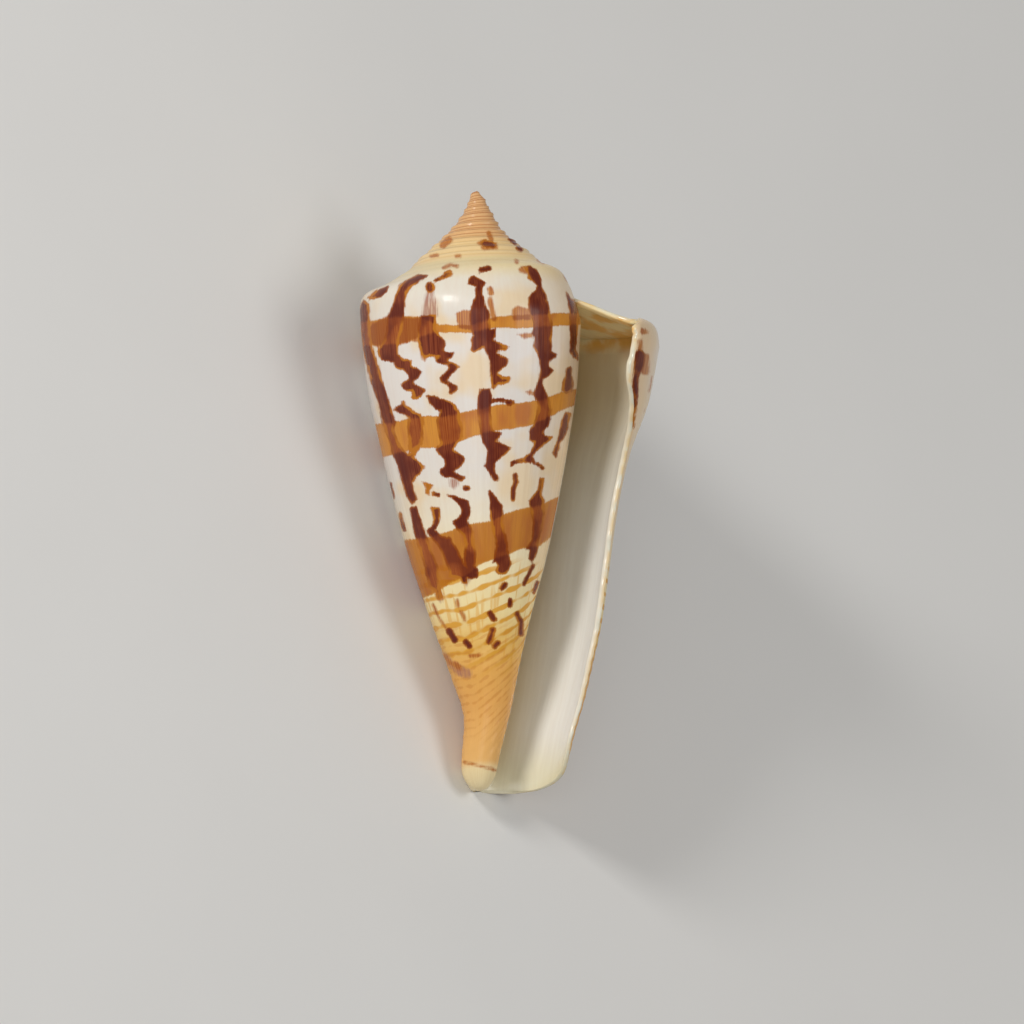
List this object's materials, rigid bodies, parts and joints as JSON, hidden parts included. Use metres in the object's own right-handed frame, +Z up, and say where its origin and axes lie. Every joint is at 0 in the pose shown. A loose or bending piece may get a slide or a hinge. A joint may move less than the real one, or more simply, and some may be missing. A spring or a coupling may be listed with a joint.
{
  "type": "cone shell",
  "caption": "Cone shell with a sharp concave spire, a tapering last whorl and a long narrow aperture with a flaring thin lip, lying at rest with its aperture turned up.",
  "frame": {"origin": "on the ground, at the middle of the bounding box's underside, with the shell lying at rest", "axes": "+Z up from the ground, +X along the shell from the apex towards the front tip, +Y to the side away from the aperture's mouth"},
  "size_m": [0.0682, 0.0322, 0.0342],
  "materials": {
    "shell": "glossy porcelain-like shell, cream with brown flames and orange bands"
  },
  "bodies": {
    "root": {"shell": "shell"}
  },
  "joints": []
}
